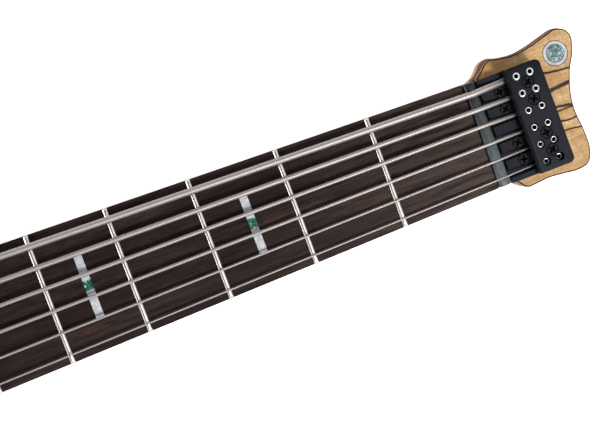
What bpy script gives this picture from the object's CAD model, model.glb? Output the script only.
import math

import bmesh
import bpy
from mathutils import Matrix, Vector


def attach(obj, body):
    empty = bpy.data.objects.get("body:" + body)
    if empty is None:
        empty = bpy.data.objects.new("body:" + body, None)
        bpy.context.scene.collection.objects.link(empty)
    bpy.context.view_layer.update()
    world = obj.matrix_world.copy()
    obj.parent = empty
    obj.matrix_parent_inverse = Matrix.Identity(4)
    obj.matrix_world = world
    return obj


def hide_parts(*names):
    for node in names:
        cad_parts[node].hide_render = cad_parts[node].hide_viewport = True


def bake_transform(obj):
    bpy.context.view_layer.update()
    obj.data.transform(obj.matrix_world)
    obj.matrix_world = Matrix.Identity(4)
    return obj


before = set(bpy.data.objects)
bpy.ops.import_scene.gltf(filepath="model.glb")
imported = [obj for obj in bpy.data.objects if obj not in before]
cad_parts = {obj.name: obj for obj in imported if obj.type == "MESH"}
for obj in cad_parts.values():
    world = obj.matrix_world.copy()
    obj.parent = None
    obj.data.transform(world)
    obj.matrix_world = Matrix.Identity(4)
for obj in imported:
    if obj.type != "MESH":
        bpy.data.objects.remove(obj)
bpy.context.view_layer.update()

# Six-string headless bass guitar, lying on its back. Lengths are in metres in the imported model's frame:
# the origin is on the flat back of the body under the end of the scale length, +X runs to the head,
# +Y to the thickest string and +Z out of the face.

MM = 0.001

# Body: red-brown back wood, a thin black veneer and a golden face wood, glued up and then cut to one
# outline. Its edges are rounded, and slopes are carved for the arm, the ribs and the hand at the horn.
BODY_THICKNESS, FACE_THICKNESS, VENEER_THICKNESS, BODY_EDGE_ROUND = 42 * MM, 6 * MM, 1.4 * MM, 4.5 * MM
FACE_UNDERSIDE = BODY_THICKNESS - FACE_THICKNESS
VENEER_UNDERSIDE, GLUE_LINE = FACE_UNDERSIDE - VENEER_THICKNESS, 0.04 * MM
BODY_OUTLINE = [
    (290, 26), (299, 50), (352, 84), (386, 120), (346, 133), (262, 126), (186, 117), (104, 128),
    (8, 155), (-72, 152), (-106, 108), (-82, 62), (-67, 0), (-82, -62), (-114, -122), (-80, -176),
    (-8, -187), (80, -156), (160, -123), (240, -129), (303, -124), (286, -92), (251, -60), (268, -26),
]
BODY_SLOPES = [((20, 92), 4, 12.5, 1), ((70, 72), -6, 11.5, -1), ((262, -52), -128, 15.0, -1)]
SCALE_LENGTH, BOARD_HALF_AT_NUT, BOARD_FLARE = 863.6 * MM, 26.1 * MM, 0.0261
BOARD_START, HEEL_UNDERSIDE, HEEL_END = 207.9 * MM, 16 * MM, 328 * MM
PICKUPS = {"neck_pickup": 166 * MM, "bridge_pickup": 62 * MM}
PICKUP_HALF_WIDTH, PICKUP_HALF_LENGTH, PICKUP_CORNER = 19 * MM, 57.5 * MM, 5 * MM
CONTROLS = [(78, -104), (40, -122), (-1, -136), (-40, -140)]
CAVITY_OUTLINE = [
    (96, -82), (100, -112), (60, -142), (0, -160), (-52, -160), (-66, -134), (-40, -112), (20, -98),
    (66, -80),
]
PICKUP_GAP, CAVITY_FLOOR, CONTROL_HOLE_RADIUS = 0.4 * MM, 29.7 * MM, 4.3 * MM
WHEEL_SLOT_LENGTH, WHEEL_SLOT_HALF, WHEEL_SLOT_FLOOR = 14.15 * MM, 9 * MM, 31.7 * MM
CAVITY_CEILING, COVER_LIP, COVER_RECESS, RIM_HEIGHT = 31 * MM, 7 * MM, 3.1 * MM, 20 * MM
JACK_SEAT = Vector((-8 * MM, -186.1 * MM, RIM_HEIGHT))
STRAP_SEATS = {
    "strap_button_horn": (Vector((384.25 * MM, 121.03 * MM, RIM_HEIGHT)), Vector((0.92718, 0.37461, 0))),
    "strap_button_tail": (Vector((-113.1 * MM, -122 * MM, RIM_HEIGHT)), Vector((-1, 0, 0))),
}
FAR, SLOPE_CUTTER, AROUND_BODY = 60 * MM, (0.35, 0.3, 0.1), ((-0.3, -0.3), (0.6, 0.3))


def linear(hex_colour):
    """An sRGB hex colour as the linear RGBA that the sockets take."""
    parts = [int(hex_colour[k : k + 2], 16) / 255 for k in (1, 3, 5)]
    return (*[c / 12.92 if c <= 0.04045 else ((c + 0.055) / 1.055) ** 2.4 for c in parts], 1.0)


def feed(tree, target, links):
    """Links nodes, or their named outputs, into a node's sockets."""
    for socket, source in links.items():
        tree.links.new(target.inputs[socket], getattr(source, "outputs", [source])[0])


def add(tree, kind, values=(), links=(), **settings):
    """Adds a node with its settings, its sockets' values and what is linked into them."""
    made = tree.nodes.new("ShaderNode" + kind)
    for name, value in settings.items():
        setattr(made, name, value)
    for socket, value in dict(values).items():
        made.inputs[socket].default_value = value
    feed(tree, made, dict(links))
    return made


def finish(name, colour, roughness, metallic=0.0, more=()):
    """A Principled material with its plain sockets set, its tree, its shader and the place in metres."""
    made = bpy.data.materials.new(name)
    made.use_nodes = True
    tree = made.node_tree
    shader = tree.nodes["Principled BSDF"]
    plain = {"Base Color": linear(colour), "Roughness": roughness, "Metallic": metallic, **dict(more)}
    for socket, value in plain.items():
        shader.inputs[socket].default_value = value
    return made, tree, shader, add(tree, "TexCoord").outputs["Object"]


def streaky(tree, place, along, across, span, detail=3.0, to=(0.0, 1.0)):
    """Noise drawn out along the neck: its size along and across in metres, and the span that fills 0 to 1."""
    stretched = add(tree, "Mapping", {"Scale": (1 / along, 1 / across, 1 / across)}, {"Vector": place})
    cloud = add(tree, "TexNoise", {"Scale": 1.0, "Detail": detail, "Roughness": 0.6}, {"Vector": stretched})
    limits = {"From Min": span[0], "From Max": span[1], "To Min": to[0], "To Max": to[1]}
    return add(tree, "MapRange", limits, {"Value": cloud})


def mixed(tree, share, first, second, blend="MIX"):
    """One colour over another by a share; each is a hex colour, a node or an output."""
    values, links = {}, {}
    for socket, item in (("Fac", share), ("Color1", first), ("Color2", second)):
        if isinstance(item, str):
            values[socket] = linear(item)
        elif isinstance(item, float):
            values[socket] = item
        else:
            links[socket] = item
    return add(tree, "MixRGB", values, links, blend_type=blend)


def wood(name, pale, main, dark, roughness, pore=0.5 * MM, pore_share=0.55, line_share=0.6, gloss=0.2):
    """Sanded and oiled wood: broad bands, growth lines and open pores, all along the neck. The pores are
    drawn about twice as wide as real ones, so that they show."""
    made, tree, shader, place = finish(name, main, roughness, 0.0, {"Specular IOR Level": gloss})
    bands = mixed(tree, streaky(tree, place, 70 * MM, 7 * MM, (0.4, 0.6)), main, pale)
    lines = streaky(tree, place, 16 * MM, 1.4 * MM, (0.44, 0.64), 4.0, to=(0.0, line_share))
    pores = streaky(tree, place, 3 * MM, pore, (0.5, 0.64), 2.0, to=(0.0, pore_share))
    colour = mixed(tree, pores, mixed(tree, lines, bands, dark), dark)
    dents = add(tree, "Bump", {"Strength": 0.5, "Distance": 0.04 * MM}, {"Height": pores}, invert=True)
    feed(tree, shader, {"Base Color": colour, "Normal": dents})
    return made, tree, shader, place, colour


def placed(name, data):
    """An object that carries a mesh, curve, lamp or lens, linked into the scene."""
    obj = bpy.data.objects.new(name, data)
    bpy.context.scene.collection.objects.link(obj)
    return obj


def object_from(name, points, faces):
    """A mesh object from points and faces, with its normals outwards."""
    mesh = bpy.data.meshes.new(name)
    mesh.from_pydata([tuple(p) for p in points], [], faces)
    bm = bmesh.new()
    bm.from_mesh(mesh)
    bmesh.ops.recalc_face_normals(bm, faces=bm.faces)
    bm.to_mesh(mesh)
    bm.free()
    return placed(name, mesh)


def settled(obj):
    """A plain welded mesh in place of a curve or of a mesh with modifiers."""
    bpy.context.view_layer.update()
    mesh = bpy.data.meshes.new_from_object(obj.evaluated_get(bpy.context.evaluated_depsgraph_get()))
    mesh.transform(obj.matrix_world)
    bm = bmesh.new()
    bm.from_mesh(mesh)
    bmesh.ops.remove_doubles(bm, verts=bm.verts, dist=0.002 * MM)
    bmesh.ops.recalc_face_normals(bm, faces=bm.faces)
    bm.to_mesh(mesh)
    bm.free()
    name = obj.name
    bpy.data.objects.remove(obj)
    return placed(name, mesh)


def outlined(name, points, low, high, corners=(), smoothness=12, edge=0.0, edge_steps=3, inset=0.0):
    """A slab with a smooth outline through points in metres, with rounded upper and lower edges."""
    curve = bpy.data.curves.new(name, "CURVE")
    curve.dimensions, curve.fill_mode, curve.resolution_u = "2D", "BOTH", smoothness
    curve.extrude = (high - low) / 2 - edge
    curve.bevel_depth, curve.bevel_resolution, curve.offset = edge, edge_steps, -edge - inset
    spline = curve.splines.new("BEZIER")
    spline.bezier_points.add(len(points) - 1)
    spline.use_cyclic_u = True
    for index, (knot, point) in enumerate(zip(spline.bezier_points, points)):
        knot.co = (point[0], point[1], 0.0)
        knot.handle_left_type = knot.handle_right_type = "VECTOR" if index in corners else "AUTO"
    obj = placed(name, curve)
    obj.location.z = (low + high) / 2
    return settled(obj)


def rounded_plate(name, low, high, radius, edge=0.0, corner_steps=8):
    """A rectangular plate between two corners, with its upright corners and its edges rounded."""
    arcs = []
    for quarter, (sx, sy) in enumerate(((1, 1), (-1, 1), (-1, -1), (1, -1))):
        centre = ((high if sx > 0 else low)[0] - sx * radius, (high if sy > 0 else low)[1] - sy * radius)
        for step in range(corner_steps + 1):
            angle = math.pi / 2 * (quarter + step / corner_steps)
            arcs.append((centre[0] + radius * math.cos(angle), centre[1] + radius * math.sin(angle)))
    return outlined(name, arcs, low[2], high[2], range(len(arcs)), 1, edge)


def block(name, low, high):
    """A plain box, used to cut with."""
    corners = [(x, y, z) for x in (low[0], high[0]) for y in (low[1], high[1]) for z in (low[2], high[2])]
    sides = [(0, 1, 3, 2), (4, 6, 7, 5), (0, 4, 5, 1), (2, 3, 7, 6), (0, 2, 6, 4), (1, 5, 7, 3)]
    return object_from(name, corners, sides)


def loft(name, rings):
    """A closed skin through rings of equal point counts."""
    count, points = len(rings[0]), [point for ring in rings for point in ring]
    faces = [tuple(range(count)), tuple(range(len(points) - count, len(points)))]
    for r in range(len(rings) - 1):
        for k in range(count):
            a, b = r * count + k, r * count + (k + 1) % count
            faces.append((a, b, b + count, a + count))
    return object_from(name, points, faces)


def turned(name, rows, sides=48, at=(0, 0, 0), out=(0, 0, 1), unit=MM):
    """A turned body from (radius, height) rows in a unit, closed where the radius is 0. A row's third item
    bends its circle, and sides may list the angles. It stands at a place, with its axis pointing out."""
    angles = [2 * math.pi * k / sides for k in range(sides)] if isinstance(sides, int) else sides
    points, rings = [], []
    for radius, height, *shape in rows:
        ring = []
        for angle in angles if radius else (0.0,):
            reach = radius * unit * (shape[0](angle) if shape else 1)
            ring.append(len(points))
            points.append((reach * math.cos(angle), reach * math.sin(angle), height * unit))
        rings.append(ring)
    faces = []
    for near, far in zip(rings, rings[1:]):
        for k in range(len(angles)):
            n = (k + 1) % len(angles)
            corners = [near[k % len(near)], near[n % len(near)], far[n % len(far)], far[k % len(far)]]
            faces.append(tuple(dict.fromkeys(corners)))
    turn = Vector(out).to_track_quat("Z", "Y").to_matrix()
    return object_from(name, [turn @ Vector(p) + Vector(at) for p in points], faces)


def drill(radius, start, end, sides, at, out=(0, 0, 1)):
    """A straight round cutter between two heights on its axis."""
    return turned("drill", [(0, start), (radius, start), (radius, end), (0, end)], sides, at, out, 1)


def shaped(target, operation, others):
    """Cuts or joins a mesh with others, which are used up."""
    group = bpy.data.collections.new("tools")
    for obj in others:
        group.objects.link(obj)
    tool = target.modifiers.new(operation, "BOOLEAN")
    tool.operation, tool.operand_type, tool.collection, tool.solver = operation, "COLLECTION", group, "EXACT"
    target = settled(target)
    for obj in others:
        bpy.data.objects.remove(obj)
    bpy.data.collections.remove(group)
    return target


def fit(obj, finishes, body="instrument", nodes=(), crease=32):
    """Finishes a piece: its materials, smooth shading, body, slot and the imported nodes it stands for."""
    for made in finishes:
        obj.data.materials.append(made)
    obj.data.shade_smooth()
    obj.data.set_sharp_from_angle(angle=math.radians(crease))
    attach(obj, body)
    if nodes:
        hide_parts(*nodes)
    return obj


def board_half_width(x):
    """The fingerboard's half width, which grows evenly from the nut."""
    return BOARD_HALF_AT_NUT + BOARD_FLARE * (SCALE_LENGTH - x)


def slope(start, heading, fall, side):
    """A big block whose face slopes into the body from a line; side is 1 in front and -1 behind."""
    reach, depth, height = SLOPE_CUTTER
    cutter = block("slope", (-reach, 0, min(0, side * height)), (reach, depth, max(0, side * height)))
    turn = Matrix.Rotation(math.radians(heading), 4, "Z")
    tilt = Matrix.Rotation(math.radians(-side * fall), 4, "X")
    place = Vector((start[0] * MM, start[1] * MM, BODY_THICKNESS if side > 0 else 0))
    cutter.data.transform(Matrix.Translation(place) @ turn @ tilt)
    return cutter


def grown(points, amount):
    """An outline pushed out from its own centre, in metres."""
    middle = Vector((sum(x for x, y in points), sum(y for x, y in points))) / len(points)
    return [tuple((Vector(p) + (Vector(p) - middle).normalized() * amount / MM) * MM) for p in points]


def body_cutters(seam=0.15 * MM, lifted=6 * MM):
    """The neck pocket, the pickup cavities, the wheel's slot and the holes for the controls."""
    rings = []
    for x in (BOARD_START - seam, HEEL_END):
        half = board_half_width(x) + seam
        floor, top = HEEL_UNDERSIDE, BODY_THICKNESS + lifted
        rings.append([(x, -half, floor), (x, half, floor), (x, half, top), (x, -half, top)])
    low = (BOARD_START - WHEEL_SLOT_LENGTH, -WHEEL_SLOT_HALF, WHEEL_SLOT_FLOOR)
    cutters = [loft("pocket", rings), block("wheel_slot", low, (BOARD_START + 2 * MM, WHEEL_SLOT_HALF, FAR))]
    for x in PICKUPS.values():
        low = (x - PICKUP_HALF_WIDTH - PICKUP_GAP, -PICKUP_HALF_LENGTH - PICKUP_GAP, CAVITY_FLOOR)
        high = (x + PICKUP_HALF_WIDTH + PICKUP_GAP, PICKUP_HALF_LENGTH + PICKUP_GAP, FAR)
        cutters.append(rounded_plate("cavity", low, high, PICKUP_CORNER + PICKUP_GAP))
    for x, y in CONTROLS:
        cutters.append(drill(CONTROL_HOLE_RADIUS, CAVITY_CEILING - 2 * MM, FAR, 24, (x * MM, y * MM, 0)))
    return cutters


# Golden face wood with black mineral lines, oiled to a soft sheen: the eye gets warm tan with fine pores.
face_wood, tree, shader, place, colour = wood("oiled_golden_face_wood", "#DCB584", "#C99B65", "#835936", 0.45)
curl = streaky(tree, place, 8 * MM, 70 * MM, (0.35, 0.65), 1.0, to=(0.0, 0.16))
veins = streaky(tree, place, 260 * MM, 26 * MM, (0.0, 1.0), 4.0)
near_vein = add(tree, "Math", {1: 0.5}, {0: veins}, operation="SUBTRACT")
thin = add(tree, "Math", {}, {0: near_vein}, operation="ABSOLUTE")
limits = {"From Min": 0.003, "From Max": 0.009, "To Min": 0.85, "To Max": 0.0}
ink = add(tree, "MapRange", limits, {"Value": thin})
colour = mixed(tree, curl, colour, "#B98A50")
feed(tree, shader, {"Base Color": mixed(tree, ink, colour, "#3A2615")})
# Red-brown open-pored back wood, oiled: darker, with long pores.
back_wood = wood("oiled_red_brown_back_wood", "#8A5638", "#734229", "#40221a", 0.48, 0.7 * MM)[0]
# Dyed black veneer: a thin dark line with little gloss.
line_wood = wood("dyed_black_veneer", "#1C1917", "#141210", "#0B0A09", 0.55)[0]

body_blank = outlined(
    "body_blank", [(x * MM, y * MM) for x, y in BODY_OUTLINE], 0.0, BODY_THICKNESS, (), 16, BODY_EDGE_ROUND, 9
)
body_blank = shaped(body_blank, "DIFFERENCE", [slope(*row) for row in BODY_SLOPES])
BODY_LAYERS = {
    "red_brown_body": ("body_core", "back_wood", back_wood, 0, VENEER_UNDERSIDE),
    "black_line_body": (
        "body_veneer", "black_veneer", line_wood, VENEER_UNDERSIDE + GLUE_LINE, FACE_UNDERSIDE - GLUE_LINE
    ),
    "golden_body": ("body_top", "top_wood", face_wood, FACE_UNDERSIDE, BODY_THICKNESS),
}
for name, (node, slot, wood_finish, low, high) in BODY_LAYERS.items():
    layer = placed(name, body_blank.data.copy())
    cutters = body_cutters()
    if low > 0:
        cutters.append(block("under", (*AROUND_BODY[0], -FAR), (*AROUND_BODY[1], low)))
    if high < BODY_THICKNESS:
        cutters.append(block("over", (*AROUND_BODY[0], high), (*AROUND_BODY[1], FAR)))
    if node == "body_core":
        recess = grown(CAVITY_OUTLINE, COVER_LIP + 0.15 * MM)
        cutters.append(outlined("cavity", grown(CAVITY_OUTLINE, 0), -2 * MM, CAVITY_CEILING))
        cutters.append(outlined("recess", recess, -2 * MM, COVER_RECESS))
        seats = {"jack": (JACK_SEAT, Vector((0, -1, 0)), 11.2 * MM, 8.2 * MM, 34.3 * MM)}
        for button, (seat, out) in STRAP_SEATS.items():
            seats[button] = (seat - out * 0.3 * MM, out, 7.2 * MM, 1.9 * MM, 12.3 * MM)
        for seat, out, flange, barrel, depth in seats.values():
            cutters += [drill(flange, 0, FAR, 48, seat, out), drill(barrel, -depth, 2 * MM, 32, seat, out)]
    fit(shaped(layer, "DIFFERENCE", cutters), [wood_finish], nodes=[node], crease=10.5)
bpy.data.objects.remove(body_blank)

# Neck: one long blank of pinkish hardwood, round behind, with a square heel glued into the body's pocket
# and a small wing behind the nut that carries the head. It is oiled, so it has only a soft sheen.
NECK_TOP, HEAD_STEP = 43.97 * MM, 40.4 * MM
NECK_BACK_AT_NUT, NECK_BACK_AT_HEEL, HEEL_FRONT, HEEL_RAMP = 30 * MM, 26.5 * MM, 286 * MM, 42 * MM
HEAD_OUTLINE = [
    (11.6, 28.9), (16.8, 32.7), (22.5, 31.9), (29.9, 31.2), (38.4, 32.4), (46.8, 34.6), (53.7, 35.8),
    (58.8, 32.2), (58.1, 24.3), (52.9, 13.8), (49.0, -1.0), (49.8, -16.5), (49.2, -24.8), (46.2, -30.2),
    (41.0, -31.6), (33.5, -31.0), (25.5, -30.3), (18.0, -30.9), (14.2, -30.8),
]
WING_LEDGE, NECK_SIDE_FOOT, SHAFT_SQUARENESS, HEEL_SQUARENESS = 0.7, 41.7 * MM, 0.78, 0.06
BEFORE_NUT, WELL_BEYOND = 700 * MM, 200 * MM
NECK_WOOD_ROOT = [(-6, 0), (-2, 20), (4.5, 26.2), (8.6, 28.2), (15.6, 33.2)]
NECK_WOOD_TREBLE_ROOT = [(13.4, -29.9), (9.4, -26.9), (-2, -20)]
NUT_BACK = SCALE_LENGTH + 5.6 * MM


def neck_section(x, steps=30):
    """A ring across the neck: flat on top, round below, and square in the heel."""
    half = board_half_width(min(x, SCALE_LENGTH))
    t = min(max((x - HEEL_FRONT) / HEEL_RAMP, 0.0), 1.0)
    heel = 1 - t * t * (3 - 2 * t)
    along = max(min((SCALE_LENGTH - x) / (SCALE_LENGTH - HEEL_FRONT), 1.0), 0.0)
    shaft_back = NECK_BACK_AT_NUT + (NECK_BACK_AT_HEEL - NECK_BACK_AT_NUT) * along
    back = shaft_back + (HEEL_UNDERSIDE + 0.15 * MM - shaft_back) * heel
    squareness = SHAFT_SQUARENESS + (HEEL_SQUARENESS - SHAFT_SQUARENESS) * heel
    ring = [(x, half, NECK_TOP)]
    for step in range(steps + 1):
        across, down = math.cos(math.pi * step / steps), math.sin(math.pi * step / steps)
        y = half * math.copysign(abs(across) ** squareness, across)
        ring.append((x, y, NECK_SIDE_FOOT - (NECK_SIDE_FOOT - back) * abs(down) ** squareness))
    return [*ring, (x, -half, NECK_TOP)]


stations = [BOARD_START, HEEL_FRONT] + [HEEL_FRONT + HEEL_RAMP * k / 14 for k in range(1, 15)]
stations += [SCALE_LENGTH * share for share in (0.5, 0.66, 0.8, 0.9)] + [SCALE_LENGTH + 10 * MM]
neck = loft("pink_brown_neck", [neck_section(x) for x in stations])
wing_outline = NECK_WOOD_ROOT + HEAD_OUTLINE[2:-1] + NECK_WOOD_TREBLE_ROOT
wing_outline = [(SCALE_LENGTH + x * MM, (y + WING_LEDGE * (y > 30)) * MM) for x, y in wing_outline]
wing = outlined("wing", wing_outline, NECK_BACK_AT_NUT, 48 * MM, edge=3 * MM, edge_steps=5)
neck = shaped(neck, "UNION", [wing])
CHANNEL_HALF, CHANNEL_FLOOR = 3.3 * MM, 34.4 * MM
low = (BOARD_START - FAR, -CHANNEL_HALF, CHANNEL_FLOOR)
rod_channel = block("channel", low, (SCALE_LENGTH - 6 * MM, CHANNEL_HALF, FAR))
head_room = block("head_room", (NUT_BACK, -FAR, HEAD_STEP), (SCALE_LENGTH + WELL_BEYOND, FAR, WELL_BEYOND))
board_room = block("board_room", (BEFORE_NUT, -FAR, NECK_TOP), (NUT_BACK + 2 * MM, FAR, WELL_BEYOND))
neck = shaped(neck, "DIFFERENCE", [rod_channel, head_room, board_room])
neck_wood = wood("oiled_pink_brown_neck_wood", "#D3AC90", "#C09478", "#976D55", 0.47, 0.45 * MM)[0]
fit(neck, [neck_wood], nodes=["neck"])

# Truss rod: a steel bar in a channel under the fingerboard, and the wheel that tightens it. The wheel is
# turned steel with spoke holes around it, and stands free in a slot in the body's face.
WHEEL_RADIUS, WHEEL_HALF, WHEEL_AXIS, SPOKE_COUNT = 6 * MM, 2.5 * MM, 39.2 * MM, 6


def bright_steel(name, colour="#BDBCBA", roughness=0.3):
    """Ground or nickel-plated steel: bright, with fine scratches from the machining."""
    made, tree, shader, place = finish(name, colour, roughness, 1.0)
    smudges = add(tree, "TexNoise", {"Scale": 900.0, "Detail": 4.0}, {"Vector": place})
    dull = add(tree, "MapRange", {"To Min": roughness - 0.08, "To Max": roughness + 0.14}, {"Value": smudges})
    greyed = add(tree, "MapRange", {"To Min": 0.0, "To Max": 0.3}, {"Value": smudges})
    feed(tree, shader, {"Roughness": dull, "Base Color": mixed(tree, greyed, colour, "#8E8C89")})
    return made


def refinished(node, made):
    """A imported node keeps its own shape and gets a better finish."""
    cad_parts[node].data.materials.clear()
    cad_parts[node].data.materials.append(made)


ground_steel = bright_steel("ground_steel")
rows = [
    (0, WHEEL_HALF), (4.8 * MM, WHEEL_HALF), (5.2 * MM, WHEEL_HALF - 0.1 * MM), (WHEEL_RADIUS, 1.6 * MM),
    (WHEEL_RADIUS, -1.6 * MM), (5.2 * MM, 0.1 * MM - WHEEL_HALF), (4.8 * MM, -WHEEL_HALF), (0, -WHEEL_HALF),
]
wheel_centre = Vector((BOARD_START - 0.3 * MM - WHEEL_HALF, 0, WHEEL_AXIS))
wheel = turned("spoked_wheel", rows, 48, wheel_centre, (1, 0, 0), 1)
holes = []
for k in range(SPOKE_COUNT):
    angle = 2 * math.pi * k / SPOKE_COUNT
    out = Vector((0, math.sin(angle), math.cos(angle)))
    holes.append(drill(1 * MM, 2.5 * MM, 8 * MM, 16, wheel_centre, out))
fit(shaped(wheel, "DIFFERENCE", holes), [ground_steel], "truss_wheel", ["truss_wheel"])
refinished("truss_rod", ground_steel)

# Fingerboard: dark oiled rosewood with an arched face, glued on the neck. Long open pores and faint
# lighter bands run along it, it is a little paler near the nut, and its upper edges are rolled.
BOARD_UNDERSIDE, BOARD_TOP, BOARD_RADIUS, BOARD_END = 44 * MM, 50.4 * MM, 406 * MM, 863.1 * MM
FRET_COUNT, MARKED_FRETS = 24, (3, 5, 7, 9, 12, 15, 17, 19, 21, 24)
STRING_DIAMETERS = [d * MM for d in (3.30, 2.54, 2.03, 1.65, 1.14, 0.81)]
NUT_STRING_Y = [y * MM for y in (20.3, 12.4, 4.3, -4.7, -13.4, -22.1)]
BRIDGE_STRING_Y = [17.5 * MM * (2.5 - index) for index in range(6)]
MARKER_HALF, MARKER_DEPTH = 1.95 * MM, 1.5 * MM


def arch_drop(y):
    """How far the fingerboard's arch has fallen at y."""
    return BOARD_RADIUS - math.sqrt(BOARD_RADIUS**2 - y**2)


def fret_x(number):
    return SCALE_LENGTH * 2 ** (-number / 12)


def string_y(index, x):
    """A string's place across the board at x."""
    share = (SCALE_LENGTH - x) / SCALE_LENGTH
    return NUT_STRING_Y[index] + (BRIDGE_STRING_Y[index] - NUT_STRING_Y[index]) * share


def board_section(x, steps=24, roll=0.5 * MM):
    """A ring across the board: flat below, arched on top, with the upper edges rolled."""
    half = board_half_width(x)
    edge = BOARD_TOP - arch_drop(half)
    ring = [(x, -half, BOARD_UNDERSIDE), (x, half, BOARD_UNDERSIDE), (x, half, edge - roll)]
    ring.append((x, half - roll * 0.3, edge - roll * 0.3))
    for step in range(steps + 1):
        y = (half - roll) * (1 - 2 * step / steps)
        ring.append((x, y, BOARD_TOP - arch_drop(y)))
    return [*ring, (x, roll * 0.3 - half, edge - roll * 0.3), (x, -half, edge - roll)]


def graded(tree, place, axis, start, end, most):
    """A share that grows from 0 to its most between two places along an axis."""
    parts = add(tree, "SeparateXYZ", {}, {"Vector": place})
    limits = {"From Min": start, "From Max": end, "To Min": 0.0, "To Max": most}
    return add(tree, "MapRange", limits, {"Value": parts.outputs[axis]})


def marker_bar(name, number, spans, gap=0.0, depth=MARKER_DEPTH, rise=0.0):
    """Bars across the board under its arch, between pairs of places across, as one mesh."""
    x = (fret_x(number) + fret_x(number - 1)) / 2
    half, points, faces = MARKER_HALF + gap, [], []
    for high, low in spans:
        ring = [(low - gap, BOARD_TOP - depth), (high + gap, BOARD_TOP - depth)]
        for step in range(9):
            y = high + gap + (low - high - 2 * gap) * step / 8
            ring.append((y, BOARD_TOP - arch_drop(y) + rise))
        first, count = len(points), len(ring)
        points += [(x + side * half, y, z) for side in (-1, 1) for y, z in ring]
        faces += [tuple(range(first, first + count)), tuple(range(first + count, first + 2 * count))]
        for k in range(count):
            a, b = first + k, first + (k + 1) % count
            faces.append((a, b, b + count, a + count))
    return object_from(name, points, faces)


def marker_ends(number):
    x = (fret_x(number) + fret_x(number - 1)) / 2
    return string_y(1, x), string_y(4, x)


board_wood, tree, shader, place, colour = wood(
    "oiled_dark_rosewood", "#402F29", "#291E1A", "#0A0605", 0.55, 0.45 * MM, 0.5, 0.85, 0.1
)
warmth = streaky(tree, place, 60 * MM, 12 * MM, (0.4, 0.6), 2.0, to=(0.0, 0.5))
depth = streaky(tree, place, 110 * MM, 16 * MM, (0.42, 0.62), 2.0, to=(0.0, 0.55))
colour = mixed(tree, depth, mixed(tree, warmth, colour, "#322527"), "#130A08")
near_nut = graded(tree, place, "X", SCALE_LENGTH - 75 * MM, SCALE_LENGTH - 15 * MM, 0.25)
paler = mixed(tree, streaky(tree, place, 26 * MM, 2.6 * MM, (0.44, 0.6), 2.0), "#705E55", "#241C1B")
feed(tree, shader, {"Base Color": mixed(tree, near_nut, colour, paler)})
board = loft("rosewood_board", [board_section(x) for x in (BOARD_START, BOARD_END)])
pockets = []
for number in MARKED_FRETS:
    pockets.append(marker_bar("pocket", number, [marker_ends(number)], 0.06 * MM, 1.6 * MM, 2 * MM))
board = shaped(board, "DIFFERENCE", pockets)
fit(board, [board_wood], nodes=["fingerboard"], crease=20)

# Frets: drawn nickel-silver wire with a round crown, bent to the arch and pressed into the board. Their
# ends are filed to a slope, and the crowns are polished to a bright line.
FRET_HEIGHT, FRET_HALF_WIDTH, FRET_INSET, FRET_SEAT = 1.1 * MM, 1.2 * MM, 0.25 * MM, 0.3 * MM
FRET_END = [(0.0, 0.3), (0.25 * MM, 0.66), (0.65 * MM, 0.92), (1.1 * MM, 1.0)]
fret_metal = bright_steel("polished_nickel_silver", "#D8D2CE", 0.32)
crown = [(math.cos(math.pi * k / 14), math.sin(math.pi * k / 14) ** 0.9) for k in range(15)]
for number in range(1, FRET_COUNT + 1):
    x = fret_x(number)
    half = board_half_width(x) - FRET_INSET
    places = [(half - back, rise) for back, rise in FRET_END]
    places += [(places[3][0] * (1 - step / 8), 1.0) for step in range(1, 9)]
    places += [(-y, rise) for y, rise in reversed(places[:-1])]
    rings = []
    for y, rise in places:
        face = BOARD_TOP - arch_drop(y)
        ring = [(x + FRET_HALF_WIDTH * a, y, face + FRET_HEIGHT * rise * b) for a, b in crown]
        ring += [(x + side * FRET_HALF_WIDTH, y, face - FRET_SEAT) for side in (-1, 1)]
        rings.append(ring)
    fit(loft(f"fret_wire_{number:02d}", rings), [fret_metal])

# Markers: bars of pale shell let into the board from the second string to the fifth, each with a short
# piece of green shell in the middle. They are sanded flush with the board.
SHELL_PIECE, SHELL_JOINT = 4.6 * MM, 0.12 * MM


def shell(name, main, cloud, spark, size, sheen):
    """Polished shell: cloudy layers that shift in colour, under a clear gloss."""
    coat = {"Coat Weight": sheen, "Coat Roughness": 0.1, "Coat IOR": 1.3}
    made, tree, shader, place = finish(name, main, 0.3, 0.0, coat)
    drift = add(tree, "TexNoise", {"Scale": 1 / size, "Detail": 3.0, "Distortion": 1.2}, {"Vector": place})
    layers = add(tree, "MapRange", {"From Min": 0.38, "From Max": 0.62}, {"Value": drift})
    cells = add(tree, "TexVoronoi", {"Scale": 1.2 / size}, {"Vector": place})
    bright = add(tree, "MapRange", {"From Min": 0.34, "From Max": 0.1}, {"Value": cells.outputs["Distance"]})
    colour = mixed(tree, bright, mixed(tree, layers, main, cloud), spark)
    feed(tree, shader, {"Base Color": colour})
    return made


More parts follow.
